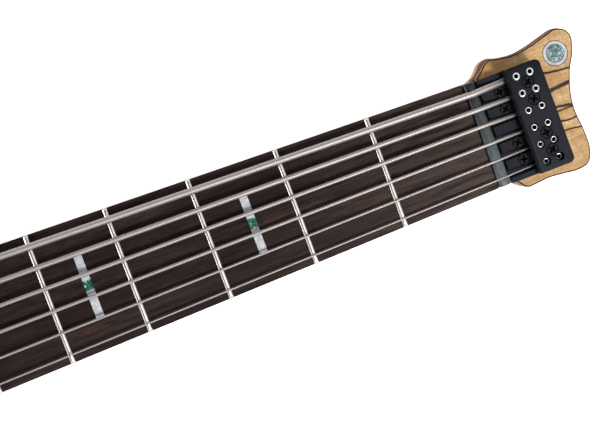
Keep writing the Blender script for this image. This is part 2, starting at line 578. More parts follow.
pale_shell = shell("polished_pale_shell", "#B2B3BA", "#C6C7CC", "#D6D8DC", 4 * MM, 0.3)
green_shell = shell("polished_green_shell", "#10342B", "#2A7A62", "#D0EFE2", 2.6 * MM, 0.3)
mosaic_shell = shell("polished_dark_mosaic_shell", "#2B4848", "#87A3A2", "#E0ECEA", 1.9 * MM, 0.3)
for number in MARKED_FRETS:
    high, low = marker_ends(number)
    x = (fret_x(number) + fret_x(number - 1)) / 2
    middle = (string_y(2, x) + string_y(3, x)) / 2
    near, far = middle + SHELL_PIECE / 2, middle - SHELL_PIECE / 2
    spans = [(high, near + SHELL_JOINT), (near, far), (far - SHELL_JOINT, low)]
    bar = marker_bar(f"marker_bar_{number:02d}", number, spans)
    fit(bar, [pale_shell, green_shell], nodes=[f"marker_fret_{number:02d}"])
    for face in bar.data.polygons:
        if far - SHELL_JOINT / 2 < face.center.y < near + SHELL_JOINT / 2:
            face.material_index = 1

# Nut: a moulded graphite bar across the end of the board, round on top and at its ends, with a groove
# filed for each string. It is slate grey, darker under the thick strings, with a soft shine.
FRET_PLANE, NUT_LENGTH, NUT_HALF_WIDTH, NUT_CROWN = BOARD_TOP + FRET_HEIGHT, 5.6 * MM, 25.9 * MM, 1.1 * MM
NUT_SEAT = FRET_PLANE + 0.4 * MM
CLAMP_STRING_Y = [-0.28 * MM + 8.5 * MM * (2.5 - index) for index in range(6)]
BLOCK_FRONT, BLOCK_LENGTH, BLOCK_TOP = SCALE_LENGTH + 19.9 * MM, 17.25 * MM, 57 * MM
BALL_X, TUNER_AXIS, STRING_HOLE_FLOOR = -29.8 * MM, 52 * MM, 47.8 * MM
SETBACKS = [s * MM for s in (5.0, 4.0, 3.2, 2.4, 1.6, 0.8)]
SADDLE_TRAVEL, TAIL_START, SADDLE_OVERLAP = 4 * MM, 8 * MM, 12.5 * MM


def string_route(index):
    """The string's centreline from its end in the clamp block over nut and saddle to its ball end."""
    radius, y = STRING_DIAMETERS[index] / 2, NUT_STRING_Y[index]
    nut = Vector((SCALE_LENGTH, y, NUT_SEAT - arch_drop(y) + radius))
    y = BRIDGE_STRING_Y[index]
    saddle = Vector((-SETBACKS[index], y, FRET_PLANE + 4.2 * MM - arch_drop(y) + radius))
    clamp_y, clamp_z = CLAMP_STRING_Y[index], STRING_HOLE_FLOOR + radius + 0.1 * MM
    return [
        Vector((BLOCK_FRONT + BLOCK_LENGTH - 1.5 * MM, clamp_y, clamp_z)),
        Vector((BLOCK_FRONT + 1.5 * MM, clamp_y, clamp_z)),
        nut + (nut - saddle).normalized() * NUT_LENGTH * 0.6,
        nut,
        saddle,
        Vector((BALL_X, saddle.y, TUNER_AXIS)),
    ]


def tube(name, path, radii, sides):
    """A closed skin around a path, with a radius at each of its points."""
    rings = []
    for k, point in enumerate(path):
        along = (path[min(k + 1, len(path) - 1)] - path[max(k - 1, 0)]).normalized()
        across = along.cross(Vector((0, 0, 1))).normalized()
        up = across.cross(along)
        angles = [2 * math.pi * s / sides for s in range(sides)]
        rings.append([point + (across * math.cos(a) + up * math.sin(a)) * radii[k] for a in angles])
    return loft(name, rings)


def string_groove(index, gap=0.12 * MM):
    route = string_route(index)
    return tube("groove", route, [STRING_DIAMETERS[index] / 2 + gap] * len(route), 20)


def nut_crown(y):
    """How far the nut rises over its string seats: less under the thin strings."""
    return NUT_CROWN * (0.6 + 0.4 * min(max((y + 22 * MM) / (42 * MM), 0.0), 1.0))


NUT_PROFILE = [
    (0.0, -0.8), (0.02, 0.1), (0.07, 0.5), (0.16, 0.78), (0.3, 0.95), (0.48, 1.0), (0.66, 0.94), (0.82, 0.7),
    (0.93, 0.3), (0.98, -0.2), (1.0, -1.0),
]
rings = []
NUT_END = [(0.0, 1.0, 0.12), (0.15 * MM, 0.55, 0.06), (0.5 * MM, 0.2, 0.02), (1.1 * MM, 0.0, 0.0)]
nut_places = [(NUT_HALF_WIDTH - back, sunk, narrow) for back, sunk, narrow in NUT_END]
nut_places += [(nut_places[3][0] * (1 - step / 12), 0, 0) for step in range(1, 13)]
nut_places += [(-y, sunk, narrow) for y, sunk, narrow in reversed(nut_places[:-1])]
for y, sunk, narrow in nut_places:
    ring = []
    for share, rise in [(0.0, None), *NUT_PROFILE, (1.0, None)]:
        x = SCALE_LENGTH + (0.5 + (share - 0.5) * (1 - narrow)) * NUT_LENGTH
        z = BOARD_UNDERSIDE if rise is None else NUT_SEAT + nut_crown(y) * (rise - sunk) - arch_drop(y)
        ring.append((x, y, z))
    rings.append(ring)
grooves = [string_groove(index) for index in range(6)]
for index, y in enumerate(NUT_STRING_Y):
    radius = STRING_DIAMETERS[index] / 2
    half, floor = radius + 0.1 * MM, NUT_SEAT - arch_drop(y) + radius
    grooves.append(block("open", (SCALE_LENGTH - MM, y - half, floor), (NUT_BACK + MM, y + half, FAR)))
nut = shaped(loft("graphite_nut", rings), "DIFFERENCE", grooves)
graphite, tree, shader, place = finish("moulded_graphite", "#434C52", 0.4, 0.0, {"Specular IOR Level": 0.3})
mottle = streaky(tree, place, 1.2 * MM, 3 * MM, (0.35, 0.65))
rubbed = add(tree, "TexNoise", {"Scale": 1400.0, "Detail": 3.0}, {"Vector": place})
pits = add(tree, "Bump", {"Strength": 0.25, "Distance": 0.03 * MM}, {"Height": rubbed})
aged = graded(tree, place, "Y", -14 * MM, 22 * MM, 0.95)
slate = mixed(tree, aged, mixed(tree, mottle, "#3F474C", "#545E5D"), "#141619")
feed(tree, shader, {"Base Color": slate, "Normal": pits})
fit(nut, [graphite], nodes=["nut"])

# Head: a paler cut of the face wood over a brown veneer, both glued on the neck's wing. Its bevelled edge
# is stained dark, which draws a thin line round it, and a few black mineral lines run out to its end.
HEAD_FACE, HEAD_WOOD_UNDERSIDE, HEAD_START = 45 * MM, 41.8 * MM, NUT_BACK + 0.15 * MM
HEAD_ROOT = [(10.2, -26.5), (8.4, 26.3)]
LINE_CORE, LINE_EDGE = 0.34, 0.7
HEAD_LINES = [
    (34.0, 18.4, 55.0, 15.6, 1.1), (34.0, 8.4, 53.0, 9.8, 2.2), (34.0, 1.4, 50.5, -1.2, 1.3),
    (34.0, -2.2, 50.0, -1.6, 0.8), (34.0, -6.7, 51.0, -7.2, 0.85), (34.0, -11.2, 51.0, -12.9, 0.85),
]


def head_layer(name, low, high, inset=0.0, edge=0.0):
    """A layer cut to the head's outline and squared off behind the nut."""
    points = [(SCALE_LENGTH + x * MM, y * MM) for x, y in HEAD_OUTLINE + HEAD_ROOT]
    layer = outlined(name, points, low, high, (len(points) - 2, len(points) - 1), 12, edge, 3, inset)
    square = block("square", (BEFORE_NUT, -FAR, 0), (HEAD_START, FAR, WELL_BEYOND))
    return shaped(layer, "DIFFERENCE", [square])


def off(tree, value, middle):
    """How far a value is from its middle, either way."""
    links = {0: value} if isinstance(middle, float) else {0: value, 1: middle}
    values = {1: middle} if isinstance(middle, float) else {}
    apart = add(tree, "Math", values, links, operation="SUBTRACT")
    return add(tree, "Math", {}, {0: apart}, operation="ABSOLUTE")


brown_veneer = wood("dyed_brown_veneer", "#85675A", "#77594C", "#5B4237", 0.5)[0]
veneer = head_layer("veneer_under_head", HEAD_STEP + GLUE_LINE, HEAD_WOOD_UNDERSIDE - GLUE_LINE)
fit(veneer, [brown_veneer], nodes=["head_veneer"])
edge_stain = finish("black_edge_stain", "#1B1512", 0.6, 0.0, {"Specular IOR Level": 0.1})[0]
head_wood, tree, shader, place, colour = wood(
    "oiled_golden_head_wood", "#EBC998", "#D8AF79", "#94683E", 0.45, 0.4 * MM, 0.35, 0.35
)
flame = streaky(tree, place, 2 * MM, 5 * MM, (0.4, 0.66), 4.0, to=(0.0, 0.5))
colour = mixed(tree, flame, colour, "#A87C4C")
specks = streaky(tree, place, 1.1 * MM, 0.9 * MM, (0.56, 0.7), 2.0, to=(0.0, 0.5))
colour = mixed(tree, specks, colour, "#8F6336")
where = add(tree, "SeparateXYZ", {}, {"Vector": place})
blotches = streaky(tree, place, 12 * MM, 8 * MM, (0.4, 0.66), 2.0, to=(0.0, 0.45))
colour = mixed(tree, blotches, colour, "#B8854F")
lean = {1: -0.6, 2: 0.6 * (SCALE_LENGTH + 30 * MM)}
slant = add(tree, "Math", lean, {0: where.outputs["X"]}, operation="MULTIPLY_ADD")
slant = add(tree, "Math", {}, {0: slant, 1: where.outputs["Y"]}, operation="ADD")
limits = {"From Min": 16 * MM, "From Max": 40 * MM, "To Min": 0.0, "To Max": 0.6}
colour = mixed(tree, add(tree, "MapRange", limits, {"Value": slant}), colour, "#98692F")
colour = mixed(tree, graded(tree, place, "Y", -14 * MM, -30 * MM, 0.3), colour, "#A47C48")
wander = streaky(tree, place, 9 * MM, 9 * MM, (0.0, 1.0), 2.0, to=(-1.4 * MM, 1.4 * MM))
for x0, y0, x1, y1, width in HEAD_LINES:
    fall = (y1 - y0) / (x1 - x0)
    offset = (y0 - fall * (x0 + SCALE_LENGTH / MM)) * MM
    line_y = add(tree, "Math", {1: fall, 2: offset}, {0: where.outputs["X"]}, operation="MULTIPLY_ADD")
    line_y = add(tree, "Math", {}, {0: line_y, 1: wander}, operation="ADD")
    core, edge = width * LINE_CORE * MM, width * LINE_EDGE * MM
    limits = {"From Min": core, "From Max": edge, "To Min": 1.0, "To Max": 0.0}
    on_line = add(tree, "MapRange", limits, {"Value": off(tree, where.outputs["Y"], line_y)})
    middle, reach = SCALE_LENGTH + (x0 + x1) / 2 * MM, (x1 - x0) / 2 * MM
    limits = {"From Min": reach * 0.9, "From Max": reach, "To Min": 0.95, "To Max": 0.0}
    in_reach = add(tree, "MapRange", limits, {"Value": off(tree, where.outputs["X"], middle)})
    ink = add(tree, "Math", {}, {0: on_line, 1: in_reach}, operation="MULTIPLY")
    colour = mixed(tree, ink, colour, "#0E0400")
feed(tree, shader, {"Base Color": colour})
head = head_layer("golden_head", HEAD_WOOD_UNDERSIDE, HEAD_FACE, 0.0, 0.7 * MM)
disc_centre, DISC_RADIUS = Vector((SCALE_LENGTH + 49.1 * MM, 24.8 * MM, HEAD_FACE)), 6.2 * MM
disc_pocket = drill(DISC_RADIUS + 0.05 * MM, -1.6 * MM, 2 * MM, 64, disc_centre)
head = shaped(head, "DIFFERENCE", [disc_pocket])
fit(head, [head_wood, edge_stain, neck_wood], nodes=["head_top"])
for face in head.data.polygons:
    if face.normal.z < 0.985:
        face.material_index = 1 if face.normal.z > 0.2 else 2

# Plain inlay in the head's corner: a ring of pale shell around a disc of grey-green mosaic shell, with a
# thin joint between them and a thin rim outside of black filler, all sanded flush.
RING_INNER, JOINT_WIDTH, JOINT_DEPTH, RIM, INLAY_DEPTH = 4.5 * MM, 0.25 * MM, 0.2 * MM, 0.3 * MM, 1.5 * MM
filler = finish("black_filler", "#17181A", 0.5)[0]
rows = [
    (0, -INLAY_DEPTH), (DISC_RADIUS, -INLAY_DEPTH), (DISC_RADIUS, 0), (DISC_RADIUS - RIM, 0),
    (RING_INNER, 0), (RING_INNER, -JOINT_DEPTH), (RING_INNER - JOINT_WIDTH, -JOINT_DEPTH),
    (RING_INNER - JOINT_WIDTH, 0), (0, 0),
]
inlay = turned("shell_ring_and_disc", rows, 64, disc_centre, unit=1)
fit(inlay, [pale_shell, mosaic_shell, filler], nodes=["head_disc"])
for face in inlay.data.polygons:
    away = (face.center - disc_centre).to_2d().length
    if away < RING_INNER + 0.01 * MM and face.center.z > HEAD_FACE - 1 * MM:
        face.material_index = 2 if face.center.z < HEAD_FACE - 0.05 * MM else 1
    elif away > DISC_RADIUS - RIM:
        face.material_index = 2

# Headpiece: a grooved shelf and a raised clamp block, milled from aluminium, blasted and anodised black.
# Flat cross-head screws hold both to the head, and two set screws press each string down in the block.
HEADPIECE_MIDDLE, HEADPIECE_HALF = -0.28 * MM, 25.9 * MM
SHELF_START, SHELF_END, SHELF_TOP = SCALE_LENGTH + 7 * MM, SCALE_LENGTH + 19.6 * MM, 49.6 * MM
GROOVE_HALF, GROOVE_FLOOR = 1.9 * MM, 46.8 * MM
SCREW_LANDS = [(CLAMP_STRING_Y[k] + CLAMP_STRING_Y[k + 1]) / 2 for k in (0, 1, 3, 4)]
HEADPIECE_UNDERSIDE, CROSS_ARM = HEAD_FACE + 0.03 * MM, 0.28
SHELF_SCREW_RADIUS, BLOCK_SCREW_RADIUS, CLAMP_SCREW_RADIUS = 2.6 * MM, 2.75 * MM, 1.9 * MM
CLAMP_SCREW_LENGTH, CLAMP_ROWS, STRING_HOLE_RADIUS = 6.2 * MM, (4.3 * MM, 11.2 * MM), 2.05


def black_anodised(name, colour="#171A20", roughness=0.45, deeper=(1.0, 2.0)):
    """Bead-blasted, anodised aluminium: near black with a cool tint and a fine even grain, which is drawn
    coarser than the blasting leaves it. The dye gets deeper between two places across."""
    made, tree, shader, place = finish(name, colour, roughness, 0.0, {"Specular IOR Level": 0.12})
    grit = add(tree, "TexNoise", {"Scale": 2200.0, "Detail": 2.0}, {"Vector": place})
    fine = add(tree, "Bump", {"Strength": 0.22, "Distance": 0.02 * MM}, {"Height": grit})
    patches = add(tree, "TexNoise", {"Scale": 120.0, "Detail": 2.0}, {"Vector": place})
    limits = {"To Min": roughness - 0.05, "To Max": roughness + 0.07}
    shine = add(tree, "MapRange", limits, {"Value": patches})
    dyed = graded(tree, place, "Y", *deeper, 0.8)
    tint = mixed(tree, dyed, mixed(tree, patches, colour, "#1F222A"), "#060709")
    feed(tree, shader, {"Normal": fine, "Roughness": shine, "Base Color": tint})
    return made


def hexagon(angle):
    """How far a hexagon's side is from its middle, as a share of its corner's."""
    return math.cos(math.pi / 6) / math.cos(angle % (math.pi / 3) - math.pi / 6)


def cross(angle):
    """The outline of a cross-shaped recess, as a share of its arm's length."""
    turn = (angle + math.pi / 4) % (math.pi / 2) - math.pi / 4
    if abs(math.tan(turn)) <= CROSS_ARM + 1e-6:
        return 1 / math.cos(turn)
    return CROSS_ARM / abs(math.sin(turn))


cross_corner = math.degrees(math.atan(CROSS_ARM))
cross_angles = []
for quarter in range(4):
    for turn in (-cross_corner, -7, 7, cross_corner, 24, 34, 45, 56, 66):
        cross_angles.append(math.radians(90 * quarter + turn))


def together(name, parts):
    """Several meshes as one object."""
    bm = bmesh.new()
    for obj in parts:
        bm.from_mesh(obj.data)
        bpy.data.objects.remove(obj)
    mesh = bpy.data.meshes.new(name)
    bm.to_mesh(mesh)
    bm.free()
    return placed(name, mesh)


def cross_head_screws(name, places, radius, out=(0, 0, 1), spin=20, bright=False):
    """Flat countersunk screws with a cross recess, their heads' tops at the places, fitted as one piece."""
    rows = [
        (0, -0.95), (0.42, -0.95), (0.42, -0.6), (0.98, -0.15), (1.0, -0.08), (0.93, 0), (0.72, 0, cross),
        (0.69, -0.08, cross), (0.4, -0.5, cross), (0, -0.56),
    ]
    turn, made = Vector(out).to_track_quat("Z", "Y").to_matrix().to_4x4(), []
    for k, place in enumerate(places):
        screw = turned("screw", rows, cross_angles, unit=radius)
        for face in screw.data.polygons:
            away, height = face.center.to_2d().length, face.center.z
            if height < -0.03 * radius and face.normal.z > -0.1 and away < 0.7 * radius:
                face.material_index = 1
        twist = Matrix.Rotation(math.radians(spin * (k + 1)), 4, "Z")
        screw.data.transform(Matrix.Translation(place) @ turn @ twist)
        made.append(screw)
    slot, metal = ("bright_steel", plated) if bright else ("black_steel", black_steel)
    return fit(together(name, made), [metal, socket_black])


def sink(place, radius, out=(0, 0, 1)):
    """A cutter for a countersunk head: a cone that stays a little wider than the head all the way."""
    rows = [(0, -1.1), (0.5, -1.1), (0.5, -0.66), (1.09, -0.15), (1.12, 0.0), (1.12, 0.6), (0, 0.6)]
    return turned("sink", rows, 48, place, out, radius)


def widened_hole(radius, mouth, fall, depth, ahead, at):
    """A cutter along +X, in millimetres: a hole with a chamfered mouth that starts ahead of its place."""
    rows = [(0, -ahead), (mouth, -ahead), (mouth, 0), (radius, fall), (radius, depth), (0, depth)]
    return turned("hole", rows, 32, at, (1, 0, 0))


def set_screws(name, places, radius, length, lands, socket=0.52, depth=1.4, out=(0, 0, 1)):
    """Cup-ended set screws with a hexagon socket, their tops at the places, each with the land's width that
    its worn chamfer leaves."""
    made, foot = [], -length / radius
    for place, land in zip(places, lands):
        rows = [
            (0, foot), (0.7, foot), (1, foot + 0.3), (1, land - 1), (land, -0.03),
            ((land + socket) * 0.52, 0), (socket * 1.12, -0.02), (socket, -0.2, hexagon),
            (socket, -depth, hexagon), (0, -depth - 0.2),
        ]
        made.append(turned("set_screw", rows, 48, place, out, radius))
    made = together(name, made)
    for face in made.data.polygons:
        away = min((face.center - place for place in places), key=lambda gap: gap.length)
        inside = away - Vector(out) * away.dot(out)
        if inside.length < radius * socket * 0.97 and away.dot(out) > -1.7 * radius:
            face.material_index = 1
    return made


# Blackened screw heads are barely lighter than the anodised parts, their oiled recesses look like holes,
# and the nickel-plated clamp screws stand out as bright rings.
anodised = black_anodised("black_anodised_aluminium")
block_black = black_anodised("black_anodised_block", deeper=(4 * MM, 28 * MM))
black_steel = finish("blackened_steel", "#101217", 0.4, 0.0, {"Specular IOR Level": 0.15})[0]
socket_black = finish("oiled_black_recess", "#050505", 0.6, 0.0, {"Specular IOR Level": 0.05})[0]
plated = bright_steel("nickel_plated_steel", "#CFCFD1", 0.26)
low = (SHELF_START, HEADPIECE_MIDDLE - HEADPIECE_HALF, HEADPIECE_UNDERSIDE)
high = (SHELF_END, HEADPIECE_MIDDLE + HEADPIECE_HALF, SHELF_TOP)
shelf = rounded_plate("string_shelf", low, high, 0.3 * MM, 0.25 * MM, 3)
cutters = []
for y in CLAMP_STRING_Y:
    wide, narrow, top = GROOVE_HALF + 1.2 * MM, GROOVE_HALF, SHELF_TOP + 1 * MM
    rings = []
    for x in (SHELF_START - 2 * MM, SHELF_END + 2 * MM):
        ring = [(-narrow, GROOVE_FLOOR), (narrow, GROOVE_FLOOR), (narrow, SHELF_TOP - 0.2 * MM)]
        ring += [(wide, top), (-wide, top), (-narrow, SHELF_TOP - 0.2 * MM)]
        rings.append([(x, y + across, z) for across, z in ring])
    cutters.append(loft("groove", rings))
shelf_screws = [Vector((SHELF_END - 3.6 * MM, y, SHELF_TOP - 0.12 * MM)) for y in SCREW_LANDS]
cutters += [sink(place, SHELF_SCREW_RADIUS) for place in shelf_screws]
fit(shaped(shelf, "DIFFERENCE", cutters), [anodised], nodes=["headpiece_shelf"])
cross_head_screws("shelf_screws", shelf_screws, SHELF_SCREW_RADIUS)

CORNER, DEEPEST_CLAMP_SCREW = 2.6 * MM, 1.6 * MM
points = [(BLOCK_FRONT, HEADPIECE_MIDDLE + HEADPIECE_HALF)]
for sign in (1, -1):
    for step in range(9):
        angle = math.pi / 2 * (step / 8 if sign > 0 else 1 - step / 8)
        x = BLOCK_FRONT + BLOCK_LENGTH - CORNER + CORNER * math.sin(angle)
        points.append((x, HEADPIECE_MIDDLE + sign * (HEADPIECE_HALF - CORNER + CORNER * math.cos(angle))))
points.append((BLOCK_FRONT, HEADPIECE_MIDDLE - HEADPIECE_HALF))
corners = range(len(points))
clamp = outlined("clamp_block_milled", points, HEADPIECE_UNDERSIDE, BLOCK_TOP, corners, 1, 0.35 * MM)
cutters, set_places, set_lands = [], [], []
for index, y in enumerate(CLAMP_STRING_Y):
    mouth = (BLOCK_FRONT, y, STRING_HOLE_FLOOR + STRING_HOLE_RADIUS * MM)
    cutters.append(widened_hole(STRING_HOLE_RADIUS, 2.4, 0.3, 22, 2, mouth))
    top = min(STRING_HOLE_FLOOR + 6.7 * MM + STRING_DIAMETERS[index], BLOCK_TOP - 0.15 * MM)
    for row in CLAMP_ROWS:
        if index == 5 and row == CLAMP_ROWS[1]:
            top -= DEEPEST_CLAMP_SCREW
        set_places.append(Vector((BLOCK_FRONT + row, y, top)))
        set_lands.append(0.89 - 0.03 * index)
        rim = (BLOCK_TOP - top) / MM
        well = [(0, -6.4), (2.0, -6.4), (2.0, rim - 0.2), (2.35, rim + 0.1), (2.35, rim + 3), (0, rim + 3)]
        cutters.append(turned("well", well, 32, set_places[-1]))
mount_screws = [Vector((BLOCK_FRONT + 8.6 * MM, y, BLOCK_TOP - 0.15 * MM)) for y in SCREW_LANDS]
cutters += [sink(place, BLOCK_SCREW_RADIUS) for place in mount_screws]
fit(shaped(clamp, "DIFFERENCE", cutters), [block_black], nodes=["clamp_block"])
cross_head_screws("clamp_block_screws", mount_screws, BLOCK_SCREW_RADIUS, spin=33)
screws = set_screws("string_clamp_screws", set_places, CLAMP_SCREW_RADIUS, CLAMP_SCREW_LENGTH, set_lands)
fit(screws, [plated, socket_black])

# Strings: a steel core wound with nickel-plated wire, clamped in the block and bent over nut and saddle,
# with a ball end in the carriage. The winding is drawn at 1 mm, about twice its real pitch, so it shows.
# Each is split behind the saddle, where its two ends overlap, so that the bend goes with the saddle.
WINDING, BEND_REACH = 1.0 * MM, 4
BALL_ROWS = [
    (0, -2.7), (2.8, -2.7), (3.2, -2.3), (3.2, -1.3), (2.5, -0.9), (2.5, 0.9), (3.2, 1.3), (3.2, 2.3),
    (2.8, 2.7), (0, 2.7),
]
wound, tree, shader, place = finish("nickel_wound_steel", "#B7B0AD", 0.52, 0.75)
turns = add(tree, "TexWave", {"Scale": 0.31416 / WINDING, "Distortion": 0.0}, {"Vector": place})
between = mixed(tree, turns, "#958E8C", "#B2ABA9")
at_block = graded(tree, place, "X", SCALE_LENGTH + 8 * MM, SCALE_LENGTH + 26 * MM, 0.7)
feed(tree, shader, {"Base Color": mixed(tree, at_block, between, "#2A2829")})
brass = finish("turned_brass", "#B99A5B", 0.3, 1.0)[0]
for index in range(6):
    route, path = string_route(index), []
    for start, end in zip(route, route[1:]):
        count = max(2, round((end - start).length / (WINDING / 2)))
        path += [start.lerp(end, k / count) for k in range(count)]
    path.append(route[-1])
    soft = []
    for k in range(len(path)):
        reach = min(BEND_REACH, k, len(path) - 1 - k)
        near = path[k - reach : k + reach + 1]
        soft.append(sum(near, Vector()) / len(near))
    (crest, ball_middle), number = route[4:], index + 1
    crossing = [point for point in soft if point.x > crest.x - SADDLE_OVERLAP]
    tail = [point for point in soft if point.x < crest.x - TAIL_START]
    made = []
    for name, part, radius in (("wound_string", crossing, 0.0), ("string_tail", tail, 0.03 * MM)):
        radius = STRING_DIAMETERS[index] / 2 - radius
        string = tube(f"{name}_{number}", part, [radius * (1 - 0.05 * (k % 2)) for k in range(len(part))], 12)
        string.data.materials.append(wound)
        string.data.shade_smooth()
        made.append(string)
    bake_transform(made[0])
    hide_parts(f"string_{number}")
    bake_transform(made[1])
    ball = turned(f"ball_end_{number}", BALL_ROWS, 32, ball_middle, (0, 1, 0))
    fit(ball, [brass], f"carriage_{number}")

# Bridge: a milled plate with an upright wall at the tail, anodised black and held by five flat screws.
# Each string has its own saddle, string carriage and tuning thumbscrew.
PLATE_UNDERSIDE, PLATE_TOP, PLATE_HALF, PLATE_FRONT = 42.04 * MM, 45.8 * MM, 53.55 * MM, 18 * MM
WALL_BACK, WALL_FRONT, WALL_TOP, PLATE_SCREW_RADIUS = -62.5 * MM, -56.5 * MM, 58.8 * MM, 3.3 * MM
low, high = (WALL_BACK, -PLATE_HALF, PLATE_UNDERSIDE), (PLATE_FRONT, PLATE_HALF, PLATE_TOP)
plate = rounded_plate("bridge_base", low, high, 4 * MM, 0.5 * MM)
low, high = (WALL_BACK, -PLATE_HALF, PLATE_TOP - 1 * MM), (WALL_FRONT, PLATE_HALF, WALL_TOP)
plate = shaped(plate, "UNION", [rounded_plate("wall", low, high, 2.5 * MM, 0.7 * MM)])
cutters = [widened_hole(2.8, 3.4, 0.6, 9, 3, (WALL_BACK, y, TUNER_AXIS)) for y in BRIDGE_STRING_Y]
plate_screws = []
for first, second in zip(BRIDGE_STRING_Y, BRIDGE_STRING_Y[1:]):
    plate_screws.append(Vector((13.5 * MM, (first + second) / 2, PLATE_TOP - 0.15 * MM)))
cutters += [sink(place, PLATE_SCREW_RADIUS) for place in plate_screws]
fit(shaped(plate, "DIFFERENCE", cutters), [anodised], nodes=["bridge_plate"])
cross_head_screws("bridge_plate_screws", plate_screws, PLATE_SCREW_RADIUS, spin=47)

# Saddles: milled blocks with a ramped back and a rounded crest, grooved for the string, each standing on
# two small set screws that set its height.
CARRIAGE_BASE, SADDLE_HALF, HEIGHT_SCREW_RADIUS = PLATE_TOP + 0.3 * MM, 7.8 * MM, 1.5 * MM
SADDLE_SIDE = [
    (7, 0), (7, -4.9), (6.7, -4.3), (5.0, -2.3), (3.15, -1.0), (1.9, -0.35), (0.9, 0), (-1.2, 0),
    (-2.2, -0.35), (-4.2, -1.9), (-7.5, -4.2), (-8.6, -5.1), (-9, -5.9), (-9, 0),
]


def edged(name, outline, low, high, edge, axis):
    """A bar with one side view all along it and its two ends chamfered; axis says which way it runs."""
    middle = sum((Vector(p) for p in outline), Vector((0, 0))) / len(outline)
    rings = []
    for place, share in ((low, 1.0), (low + edge, 0.0), (high - edge, 0.0), (high, 1.0)):
        ring = []
        for point in outline:
            flat = Vector(point) + (middle - Vector(point)).normalized() * edge * share
            ring.append((place, flat.x, flat.y) if axis == "X" else (flat.x, place, flat.y))
        rings.append(ring)
    return loft(name, rings)


for index in range(6):
    (crest, ball_middle), body = string_route(index)[4:], f"saddle_{index + 1}"
    y, radius = BRIDGE_STRING_Y[index], STRING_DIAMETERS[index] / 2
    seat = crest.z - 0.3 * radius
    outline = []
    for k, (x, z) in enumerate(SADDLE_SIDE):
        on_plate = k in (0, len(SADDLE_SIDE) - 1)
        outline.append((crest.x + x * MM, CARRIAGE_BASE if on_plate else seat + z * MM))
    saddle = edged(f"saddle_block_{index + 1}", outline, y - SADDLE_HALF, y + SADDLE_HALF, 0.5 * MM, "Y")
    height_screws = [Vector((crest.x - 5.6 * MM, y + side * 4.8 * MM, seat - 2.2 * MM)) for side in (1, -1)]
    room = Vector((SADDLE_TRAVEL + 0.2 * MM, 0, 0))
    tail = [crest.lerp(ball_middle, TAIL_START / (crest.x - ball_middle.x)) + room, ball_middle + room]
    cutters = [string_groove(index, 0.3 * MM), tube("tail_groove", tail, [radius + 0.2 * MM] * 2, 20)]
    cutters += [drill(HEIGHT_SCREW_RADIUS + 0.1 * MM, -4 * MM, 4 * MM, 24, place) for place in height_screws]
    fit(shaped(saddle, "DIFFERENCE", cutters), [anodised], body, [body])
    name = f"saddle_height_screws_{index + 1}"
    screws = set_screws(name, height_screws, HEIGHT_SCREW_RADIUS, 3.8 * MM, (0.85, 0.85))
    fit(screws, [black_steel, socket_black], body)

# String carriages: milled jaws that slide on the plate, slotted from above for the string and its ball,
# and tapped from behind for the thumbscrew.
CARRIAGE_FRONT, CARRIAGE_BACK, CARRIAGE_TOP = -24 * MM, -50 * MM, CARRIAGE_BASE + 11.5 * MM
SLOT_HALF, SLOT_DEPTH, POCKET_HALF = 2.2 * MM, 7 * MM, 3.5 * MM
CARRIAGE_SECTION = [
    (-8, 0.3), (-7.7, 0), (7.7, 0), (8, 0.3), (8, 10.1), (7.8, 10.6), (7.1, 11.3), (6.6, 11.5), (-6.6, 11.5),
    (-7.1, 11.3), (-7.8, 10.6), (-8, 10.1),
]
for index, y in enumerate(BRIDGE_STRING_Y):
    body = f"carriage_{index + 1}"
    outline = [(y + across * MM, CARRIAGE_BASE + up * MM) for across, up in CARRIAGE_SECTION]
    jaw = edged(f"string_{body}", outline, CARRIAGE_BACK, CARRIAGE_FRONT, 0.5 * MM, "X")
    slot_low = (CARRIAGE_FRONT - 4 * MM, y - SLOT_HALF, CARRIAGE_TOP - SLOT_DEPTH)
    pocket_low = (CARRIAGE_FRONT - 9.4 * MM, y - POCKET_HALF, TUNER_AXIS - POCKET_HALF)
    cutters = [
        block("slot", slot_low, (FAR, y + SLOT_HALF, FAR + FAR)),
        block("pocket", pocket_low, (CARRIAGE_FRONT - 2.2 * MM, y + POCKET_HALF, FAR + FAR)),
        widened_hole(2.6, 3.2, 0.6, 15.5, 2, (CARRIAGE_BACK, y, TUNER_AXIS)),
    ]
    fit(shaped(jaw, "DIFFERENCE", cutters), [anodised], body, [body])

# Tuning thumbscrews: turned black steel, each a threaded rod with a straight-knurled knob that bears on
# the wall through a collar. The knurl's flutes are coarse, as on the real ones.
KNOB_FLUTES, THREAD_TURNS, THREAD_PITCH = 36, 28, 0.8


def knurl(angle):
    """A straight knurl: flutes cut into the circle."""
    return 1 - 0.045 * (0.5 - 0.5 * math.cos(KNOB_FLUTES * angle))


rows = [(0, 22.8), (2.0, 22.8)]
for k in reversed(range(THREAD_TURNS)):
    rows += [(2.48, (k + 0.75) * THREAD_PITCH), (2.15, (k + 0.25) * THREAD_PITCH)]
rows += [
    (2.4, 0), (4.7, 0), (5, -0.25), (5, -1.2), (6.2, -1.2), (6.6, -1.4), (7, -1.9, knurl), (7, -9.9, knurl),
    (6.5, -10.6), (6.1, -10.8), (5.6, -10.9), (5.2, -11.8), (4.8, -12), (0, -12),
]
for index, y in enumerate(BRIDGE_STRING_Y):
    body, seat = f"thumbscrew_{index + 1}", (WALL_BACK - 0.3 * MM, y, TUNER_AXIS)
    knob = turned(f"tuning_{body}", rows, 4 * KNOB_FLUTES, seat, (1, 0, 0))
    fit(knob, [black_steel], body, [body], 26)

